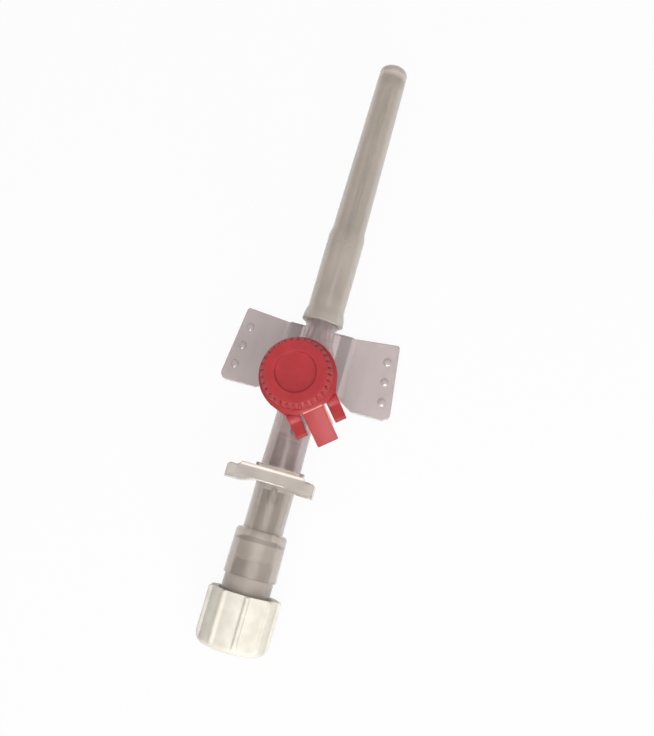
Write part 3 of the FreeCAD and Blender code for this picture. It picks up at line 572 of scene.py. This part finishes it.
class StopperSizes(bpy.types.PropertyGroup):
    """Sizes of the ribbed stopper."""

    outside: length("Rib diameter", "Across the crests of the ribs", 11.4)
    root: length("Wall diameter", "Across the wall between the ribs", 10.5)
    bore: length("Cup bore", "Across the inside of the cup", 8.3)
    floor: length("Floor thickness", "Thickness of the closed end", 1.74)
    end_round: length("End rounding", "Radius of the rounded closed end", 2.0)
    cone_root: length("Cone root", "Across the root of the male cone", 4.22)
    cone_tip: length("Cone tip", "Across the tip of the male cone", 3.86)
    cone_length: length("Cone length", "Length of the male cone", 6.0)
    cone_bore: length("Cone bore", "Across the blind bore of the cone", 2.0)
    rib_width: length("Rib width", "Width of a rib", 0.72)
    rib_count: IntProperty(
        name="Ribs", description="Ribs round the stopper", min=3, default=9)
    rib_phase: FloatProperty(
        name="Rib phase", description="Turn of the first rib from the top",
        subtype="ANGLE", default=math.radians(14))


class CoverSizes(bpy.types.PropertyGroup):
    """Sizes of the needle cover."""

    mouth: length("Mouth diameter", "Across the flared mouth", 6.74)
    lip: length("Lip", "Rounding of the mouth's lip", 0.3)
    collar: length("Collar", "Length of the full part of the flare", 1.2)
    flare: length("Flare length", "From the mouth to the end of the flare", 2.47)
    flare_fall: length("Flare fall", "How far the collar narrows on the radius", 0.12)
    socket: length("Socket diameter", "Across the part that grips the hub", 5.84)
    step_start: length("Step start", "From the mouth to the step", 14.64)
    step_length: length("Step length", "Length of the step", 1.4)
    shaft: length("Shaft diameter", "Across the shaft behind the step", 5.3)
    tip: length("Tip diameter", "Across the tip", 4.56)
    tip_round: length("Tip rounding", "Radius of the rounded tip", 1.15)
    wall: length("Wall", "Thickness of the shaft's wall", 0.8)
    end_wall: length("End wall", "Thickness of the closed end", 1.8)
    bore: length("Socket bore", "Across the bore that grips the hub", 4.3)
    mouth_bore: length("Mouth bore", "Across the open mouth", 5.64)
    seat_start: length("Seat start", "From the mouth to the grip on the hub", 2.17)


class ViewSettings(bpy.types.PropertyGroup):
    """Where the photograph was taken from."""

    eye: FloatVectorProperty(
        name="Camera", description="Place of the camera",
        subtype="TRANSLATION", size=3, default=(0.0197, -0.026235, 0.1477))
    target: FloatVectorProperty(
        name="Target", description="Point in the middle of the picture",
        subtype="TRANSLATION", size=3, default=(0.0026576, -0.0032327, 0.0057))
    roll: FloatProperty(
        name="Picture turn", description="Turn of the hub axis from the picture's upright",
        subtype="ANGLE", default=math.radians(15.668))
    lens: FloatProperty(
        name="Lens", description="Focal length for a picture 36 mm high",
        default=45.07)


GROUPS = {
    "cannula_colours": CannulaColours,
    "cannula_lid": LidSizes,
    "cannula_strap": StrapSizes,
    "cannula_stopper": StopperSizes,
    "cannula_cover": CoverSizes,
    "cannula_view": ViewSettings,
}


def lid_outline(lid, top):
    """Half section of the lid as (height, radius) corners, from its plug to its recess."""
    rim = top - lid.height
    ceiling = top - lid.roof
    flange_low = rim + lid.skirt_height
    flange_top = flange_low + lid.flange_height
    floor = top - lid.recess_depth
    return filleted([
        (ceiling - lid.plug_length, 0),
        (ceiling - lid.plug_length, lid.plug_tip / 2, 0.25 * MM),
        (ceiling, lid.plug_root / 2, 0.2 * MM),
        (ceiling, lid.bore / 2, 0.3 * MM),
        (rim, lid.bore / 2, 0.15 * MM),
        (rim, lid.skirt / 2, 0.2 * MM),
        (flange_low, lid.skirt / 2, 0.12 * MM),
        (flange_low, lid.flange / 2, 0.15 * MM),
        (flange_top, lid.flange / 2, 0.2 * MM),
        (flange_top + lid.flange_slope, lid.wall / 2, 0.3 * MM),
        (top - lid.knurl_height + lid.knurl_foot, lid.wall / 2, 0.12 * MM),
        (top, lid.crown / 2, 0.2 * MM),
        (top, lid.recess / 2, 0.12 * MM),
        (floor, lid.recess / 2, 0.12 * MM),
        (floor, 0),
    ])


def lid_wave(lid, top):
    """Radius rule that cuts the gaps of the knurl and the flange's flat over the tab."""
    knurl_low = top - lid.knurl_height
    crown = lid.crown / 2
    flange_low = top - lid.height + lid.skirt_height
    flange_end = flange_low + lid.flange_height + lid.flange_slope
    tab_side = -0.8

    def wave(angle, height, radius):
        if height > knurl_low - 0.1 * MM and radius > crown:
            from_tooth = 1 - abs(angle * lid.knurl_count / (2 * math.pi) % 1 - 0.5) * 2
            gap = smooth_step(from_tooth, 0.45, 0.9)
            start = smooth_step(height, knurl_low - 0.1 * MM, knurl_low)
            return radius - (radius - crown) * gap * start
        if flange_low - 0.01 * MM < height < flange_end and math.sin(angle) < tab_side:
            return min(radius, lid.flange_flat / -math.sin(angle))
        return radius

    return wave


def strap_section(strap, first, last):
    """Section of a strap whose width runs from first to last."""
    def section(share, inset):
        width = first + (last - first) * share
        return rounded_box(width / 2 - inset, strap.thick / 2 - inset, strap.soft)
    return section


def tab_section(lid):
    """Section of the thumb tab: a long bevel dies out along its left edge."""
    def section(share, inset):
        half = lid.tab_width / 2 - inset
        thick = lid.tab_thick / 2 - inset
        bevel_end = 0.7
        bevel = max(lid.tab_bevel * (1 - share / bevel_end), 0.1 * MM)
        edge = 0.12 * MM
        return [
            (half, thick - edge), (half - edge, thick), (-half + bevel, thick),
            (-half, thick - bevel * 0.6), (-half, -thick + edge), (-half + edge, -thick),
            (half - edge, -thick), (half, -thick + edge),
        ]
    return section


def bead_section(lid, steps=10):
    """Section of the thin bead along the right edge of the thumb tab."""
    def section(share, inset):
        turns = [2 * math.pi * step / steps for step in range(steps)]
        radius = lid.bead / 2 - inset
        edge = lid.tab_width / 2
        return [(edge + radius * math.cos(turn), radius * math.sin(turn)) for turn in turns]
    return section


def flip_lid(lid, strap, finish, highlight_finish):
    """The knurled lid with its strap arms and thumb tab, closed over the port. The tab's
    pale beads take the second finish, whose paler red is a painted highlight."""
    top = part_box("port_cap")[1].z
    rim = top - lid.height
    mesh = bmesh.new()
    outline = divided(lid_outline(lid, top), longest=0.5 * MM)
    add_lathe(mesh, outline, lid.knurl_count * STEPS_A_TOOTH, LID_PLACE, lid_wave(lid, top))
    arm = FOLD.z + strap.fold + strap.thick / 2
    root = rim + strap.thick / 2
    level = -FOLD_REACH + 2.3 * MM
    path = bent_path([
        (-FOLD_REACH, arm), (level, arm, 0.8 * MM),
        (-lid.skirt / 2, root, 0.8 * MM), (-lid.bore / 2 - 0.1 * MM, root),
    ])
    for side in (-1, 1):
        aside = LID_PLACE @ Matrix.Translation((side * strap.spread / 2, 0, 0))
        add_swept(mesh, path, strap_section(strap, strap.width, strap.root_width), aside)
    flange_low = rim + lid.skirt_height
    arm_half = (strap.spread + strap.root_width) / 2
    gussets = [(-lid.gusset_half, -lid.gusset_start), (-arm_half, -lid.gusset_end),
               (arm_half, -lid.gusset_end), (lid.gusset_half, -lid.gusset_start)]
    add_plate(mesh, gussets, flange_low + 0.05 * MM, flange_low + lid.flange_height, LID_PLACE)
    bend = flange_low + 0.15 * MM
    tab = bent_path([
        (-lid.skirt / 2 + 0.4 * MM, bend), (-lid.tab_root, bend, 0.25 * MM),
        (-lid.tab_reach, bend - lid.tab_drop),
    ])
    add_swept(mesh, tab, tab_section(lid), LID_PLACE)
    # The ridge and the bead added after these faces take the painted highlight.
    plain = len(mesh.faces)
    ridge = Vector((0, -lid.flange_flat - 0.05 * MM, flange_low + lid.flange_height))
    add_bar(mesh, ridge, lid.tab_width - 0.2 * MM, lid.ridge / 2, LID_PLACE)
    bead_reach = lid.tab_reach * 0.82
    edge = [spot for spot in tab if -bead_reach < spot.y < -lid.tab_root]
    add_swept(mesh, edge, bead_section(lid), LID_PLACE)
    mesh.faces.ensure_lookup_table()
    for face in mesh.faces[plain:]:
        face.material_index = 1
    piece = new_piece("flip_lid", finished_mesh("flip_lid", mesh), finish)
    piece.data.materials.append(highlight_finish)
    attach(piece, "lid")
    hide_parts("port_cap")


def swivel_ring(strap, finish):
    """The ring on the port stem with the two legs of the strap and the fold at their end."""
    low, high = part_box("port_ring")
    mesh = bmesh.new()
    outline = filleted([
        (low.z, (strap.ring + strap.ring_bore) / 4),
        (low.z, strap.ring / 2, 0.25 * MM),
        (high.z, strap.ring / 2, 0.2 * MM),
        (high.z, strap.ring_bore / 2, 0.15 * MM),
        (low.z, strap.ring_bore / 2, 0.15 * MM),
        (low.z, (strap.ring + strap.ring_bore) / 4),
    ])
    add_lathe(mesh, outline, STEPS_ROUND, LID_PLACE)
    bmesh.ops.remove_doubles(mesh, verts=mesh.verts, dist=0.001 * MM)
    leg = FOLD.z - strap.fold - strap.thick / 2
    path = bent_path([(-strap.ring_bore / 2 - 0.3 * MM, leg), (-FOLD_REACH - strap.fold, leg)])
    for side in (-1, 1):
        aside = LID_PLACE @ Matrix.Translation((side * strap.spread / 2, 0, 0))
        add_swept(mesh, path, strap_section(strap, strap.root_width, strap.width), aside)
        fold = Vector((0, -FOLD_REACH, FOLD.z))
        add_bar(mesh, fold, strap.width - 0.1 * MM, strap.fold_bar / 2, aside)
    piece = new_piece("swivel_ring", finished_mesh("swivel_ring", mesh), finish)
    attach(piece, "ring")
    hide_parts("port_ring")


def ribbed_stopper(stopper, finish):
    """The cup with its rounded closed end, soft ribs and the male cone inside."""
    end, front = along_hub("luer_stopper")
    outside = stopper.outside / 2
    floor = end + stopper.floor
    cone_front = floor + stopper.cone_length
    outline = divided(filleted([
        (floor, 0),
        (floor, stopper.cone_bore / 2, 0.2 * MM),
        (cone_front, stopper.cone_bore / 2, 0.2 * MM),
        (cone_front, stopper.cone_tip / 2, 0.25 * MM),
        (floor, stopper.cone_root / 2, 0.3 * MM),
        (floor, stopper.bore / 2, 0.3 * MM),
        (front, stopper.bore / 2, 0.2 * MM),
        (front, outside, 0.3 * MM),
        (end, outside, stopper.end_round),
        (end, 0),
    ], steps=8), longest=1.0 * MM)
    root = stopper.root / 2
    half = stopper.rib_width / 2

    def wave(angle, along, radius):
        if radius <= root:
            return radius
        pitch = 2 * math.pi / stopper.rib_count
        turn = angle + math.pi / 2 - stopper.rib_phase
        off = abs((turn / pitch + 0.5) % 1 - 0.5) * pitch * radius
        crest = 1 - smooth_step(off, half * 0.45, half * 1.5)
        return root + (radius - root) * crest

    mesh = bmesh.new()
    add_lathe(mesh, outline, stopper.rib_count * STEPS_A_RIB, HUB_PLACE, wave)
    piece = new_piece("ribbed_stopper", finished_mesh("ribbed_stopper", mesh), finish)
    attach(piece, "stopper")
    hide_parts("luer_stopper")


def sheath(cover, finish):
    """The long cover: flared mouth, socket on the hub's nose, step and tapered shaft."""
    mouth, tip = along_hub("needle_cover")
    step_start = mouth + cover.step_start
    step_end = step_start + cover.step_length
    end = tip - cover.end_wall
    collar = cover.mouth / 2
    outline = divided(filleted([
        (end, 0),
        (end, cover.tip / 2 - cover.wall, 0.4 * MM),
        (step_end, cover.shaft / 2 - cover.wall, 0.6 * MM),
        (step_start, cover.bore / 2, 0.6 * MM),
        (mouth + cover.seat_start, cover.bore / 2, 0.4 * MM),
        (mouth, cover.mouth_bore / 2, 0.1 * MM),
        (mouth, collar, cover.lip),
        (mouth + cover.collar, collar - cover.flare_fall, 1.5 * MM),
        (mouth + cover.flare, cover.socket / 2, 1.5 * MM),
        (step_start, cover.socket / 2, 0.25 * MM),
        (step_end, cover.shaft / 2, 1.0 * MM),
        (tip, cover.tip / 2, cover.tip_round),
        (tip, 0),
    ], steps=6), longest=1.5 * MM)
    mesh = bmesh.new()
    add_lathe(mesh, outline, STEPS_ROUND, HUB_PLACE)
    piece = new_piece("needle_sheath", finished_mesh("needle_sheath", mesh, sharp=60), finish)
    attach(piece, "cover")
    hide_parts("needle_cover")


def dress(node, finish):
    """Give a carried-over CAD node a finish."""
    mesh = frame["nodes"][node].data
    mesh.materials.clear()
    mesh.materials.append(finish)


# Operators


class CANNULA_OT_hub(bpy.types.Operator):
    """Finish the winged hub, its soft valve, its catheter and the bush"""

    bl_idname = "cannula.hub"
    bl_label = "Catheter and hub"

    def execute(self, context):
        colours = context.scene.cannula_colours
        milk = colours.catheter
        dress("catheter_hub", translucent_plastic(
            "hub plastic", colours.hub, colours.hub_tint,
            clearness=0.78, roughness=0.17, murk=300, zones=HUB_ZONES))
        dress("catheter_tube", translucent_plastic(
            "catheter plastic", milk, milk, clearness=0.4, roughness=0.36, murk=300))
        dress("injection_valve", translucent_plastic(
            "valve silicone", milk, milk, clearness=0.5, roughness=0.42, murk=300))
        dress("fixing_bush", steel("bush steel", colours.steel, roughness=0.3))
        return {"FINISHED"}


class CANNULA_OT_needle(bpy.types.Operator):
    """Finish the needle, its hub with the finger grip, and the flash plug"""

    bl_idname = "cannula.needle"
    bl_label = "Needle unit"

    def execute(self, context):
        colours = context.scene.cannula_colours
        milk = colours.catheter
        dress("needle", steel("needle steel", colours.steel, roughness=0.3))
        dress("needle_bond", translucent_plastic(
            "bond resin", milk, milk, clearness=0.6, roughness=0.34, murk=300))
        dress("needle_hub", translucent_plastic(
            "grip plastic", colours.grip, colours.grip_tint,
            clearness=0.8, roughness=0.17, murk=80, zones=GRIP_ZONES))
        dress("flash_plug", translucent_plastic(
            "plug plastic", colours.plug, colours.grip_tint,
            clearness=0.5, roughness=0.4, murk=200))
        dress("vent_filter", solid_plastic(
            "filter disc", colours.stopper, roughness=0.8, depth=0.2 * MM, softness=0.2))
        return {"FINISHED"}


class CANNULA_OT_cover(bpy.types.Operator):
    """Make the long needle cover"""

    bl_idname = "cannula.cover"
    bl_label = "Needle cover"

    def execute(self, context):
        colours = context.scene.cannula_colours
        wax = translucent_plastic(
            "cover plastic", colours.cover, colours.cover_tint,
            clearness=0.72, roughness=0.2, murk=150, zones=COVER_ZONES)
        sheath(context.scene.cannula_cover, wax)
        return {"FINISHED"}


class CANNULA_OT_lid(bpy.types.Operator):
    """Make the flip lid and the swivel ring that carries it"""

    bl_idname = "cannula.lid"
    bl_label = "Port lid"

    def execute(self, context):
        scene = context.scene
        colours = scene.cannula_colours
        red = solid_plastic(
            "lid plastic", colours.lid, roughness=0.45, depth=0.5 * MM, softness=0.25)
        # The paler red is a painted highlight on the thumb tab's edges.
        pale = solid_plastic(
            "lid edge highlight", colours.lid_edge_highlight, roughness=0.35, depth=0.5 * MM, softness=0.25)
        flip_lid(scene.cannula_lid, scene.cannula_strap, red, pale)
        swivel_ring(scene.cannula_strap, red)
        return {"FINISHED"}


class CANNULA_OT_stopper(bpy.types.Operator):
    """Make the ribbed stopper"""

    bl_idname = "cannula.stopper"
    bl_label = "Stopper"

    def execute(self, context):
        scene = context.scene
        cream = solid_plastic(
            "stopper plastic", scene.cannula_colours.stopper,
            roughness=0.45, depth=0.6 * MM, softness=0.12)
        ribbed_stopper(scene.cannula_stopper, cream)
        return {"FINISHED"}


def lamp(name, place, power, width, height):
    """A soft lamp that shines from a place at the middle of the frame."""
    light = bpy.data.lights.new(name, "AREA")
    light.energy = power
    light.shape = "RECTANGLE"
    light.size = width
    light.size_y = height
    holder = bpy.data.objects.new(name, light)
    holder.location = place
    holder.rotation_euler = (-Vector(place)).to_track_quat("-Z", "Y").to_euler()
    bpy.context.scene.collection.objects.link(holder)
    return holder


def white_world():
    """Even studio light; the camera sees plain white."""
    world = bpy.data.worlds.new("studio")
    bpy.context.scene.world = world
    world.use_nodes = True
    nodes, links = world.node_tree.nodes, world.node_tree.links
    light = nodes["Background"]
    light.inputs["Color"].default_value = (1.0, 0.99, 0.97, 1)
    light.inputs["Strength"].default_value = 0.26
    seen = nodes.new("ShaderNodeBackground")
    seen.inputs["Color"].default_value = (1, 1, 1, 1)
    seen.inputs["Strength"].default_value = 1.0
    path = nodes.new("ShaderNodeLightPath")
    mix = nodes.new("ShaderNodeMixShader")
    links.new(path.outputs["Is Camera Ray"], mix.inputs["Fac"])
    links.new(light.outputs["Background"], mix.inputs[1])
    links.new(seen.outputs["Background"], mix.inputs[2])
    links.new(mix.outputs["Shader"], nodes["World Output"].inputs["Surface"])


def white_floor(name, glow):
    """White card that keeps a pale shadow where the camera, mirrors and clear plastic see it."""
    material = bpy.data.materials.new(name)
    material.use_nodes = True
    nodes, links = material.node_tree.nodes, material.node_tree.links
    card = nodes["Principled BSDF"]
    card.inputs["Base Color"].default_value = (0.62, 0.62, 0.62, 1)
    card.inputs["Roughness"].default_value = 0.9
    card.inputs["Specular IOR Level"].default_value = 0.0
    shine = nodes.new("ShaderNodeEmission")
    shine.inputs["Strength"].default_value = 1.0
    path = nodes.new("ShaderNodeLightPath")
    seen = path.outputs["Is Camera Ray"]
    for ray in ("Is Glossy Ray", "Is Transmission Ray"):
        either = nodes.new("ShaderNodeMath")
        either.operation = "MAXIMUM"
        links.new(seen, either.inputs[0])
        links.new(path.outputs[ray], either.inputs[1])
        seen = either.outputs["Value"]
    share = nodes.new("ShaderNodeMath")
    share.operation = "MULTIPLY"
    share.inputs[1].default_value = glow
    links.new(seen, share.inputs[0])
    mix = nodes.new("ShaderNodeMixShader")
    links.new(share.outputs["Value"], mix.inputs["Fac"])
    links.new(card.outputs["BSDF"], mix.inputs[1])
    links.new(shine.outputs["Emission"], mix.inputs[2])
    links.new(mix.outputs["Shader"], nodes["Material Output"].inputs["Surface"])
    return material


class CANNULA_OT_stage(bpy.types.Operator):
    """Set the white floor, the studio light and the camera of the photograph"""

    bl_idname = "cannula.stage"
    bl_label = "Stage"

    def execute(self, context):
        scene = context.scene
        scene.view_settings.view_transform = "Standard"
        view = scene.cannula_view
        white_world()
        floor_mesh = bpy.data.meshes.new("floor")
        reach = 1.5
        floor_mesh.from_pydata(
            [(-reach, -reach, 0), (reach, -reach, 0), (reach, reach, 0), (-reach, reach, 0)],
            [], [(0, 1, 2, 3)])
        floor = new_piece("floor", floor_mesh, white_floor("white card", glow=0.94))
        key = lamp("key softbox", (0.07, -0.10, 0.38), power=1.74, width=0.36, height=0.4)
        key.visible_glossy = False
        lamp("low lamp", (0.20, -0.33, 0.13), power=0.6, width=0.12, height=0.12)
        glint = lamp("glint strip", (0.10, -0.36, 0.10), power=3.6, width=0.5, height=0.15)
        glint.visible_diffuse = False
        glint.visible_transmission = False
        clear = bpy.data.collections.new("clear plastics")
        for node in ("catheter_hub", "needle_hub", "flash_plug"):
            clear.objects.link(frame["nodes"][node])
        glint.light_linking.receiver_collection = clear
        camera = bpy.data.cameras.new("camera")
        camera.sensor_fit = "VERTICAL"
        camera.sensor_height = 36
        camera.lens = view.lens
        camera.clip_start = 0.01
        holder = bpy.data.objects.new("camera", camera)
        forward = (Vector(view.target) - Vector(view.eye)).normalized()
        upright = Vector((-math.sin(view.roll), math.cos(view.roll), 0))
        right = forward.cross(upright).normalized()
        turn = Matrix((right, right.cross(forward), -forward)).transposed()
        holder.matrix_world = Matrix.Translation(view.eye) @ turn.to_4x4()
        scene.collection.objects.link(holder)
        scene.camera = holder
        return {"FINISHED"}


OPERATORS = (
    CANNULA_OT_hub,
    CANNULA_OT_needle,
    CANNULA_OT_cover,
    CANNULA_OT_lid,
    CANNULA_OT_stopper,
    CANNULA_OT_stage,
)


class CANNULA_PT_panel(bpy.types.Panel):
    """Sidebar list of the cannula's pieces"""

    bl_idname = "CANNULA_PT_panel"
    bl_label = "Cannula"
    bl_space_type = "VIEW_3D"
    bl_region_type = "UI"
    bl_category = "Cannula"

    def draw(self, context):
        for operator in OPERATORS:
            self.layout.operator(operator.bl_idname)


def register():
    """Make the settings, the operators and the panel known to Blender."""
    for group in GROUPS.values():
        bpy.utils.register_class(group)
    for name, group in GROUPS.items():
        setattr(bpy.types.Scene, name, PointerProperty(type=group))
    for operator in OPERATORS:
        bpy.utils.register_class(operator)
    bpy.utils.register_class(CANNULA_PT_panel)


def unregister():
    """Take the panel, the operators and the settings away again."""
    bpy.utils.unregister_class(CANNULA_PT_panel)
    for operator in reversed(OPERATORS):
        bpy.utils.unregister_class(operator)
    for name, group in reversed(GROUPS.items()):
        delattr(bpy.types.Scene, name)
        bpy.utils.unregister_class(group)


def main():
    register()
    bpy.ops.cannula.hub()
    bpy.ops.cannula.needle()
    bpy.ops.cannula.cover()
    bpy.ops.cannula.lid()
    bpy.ops.cannula.stopper()
    bpy.ops.cannula.stage()


if __name__ == "__main__":
    main()
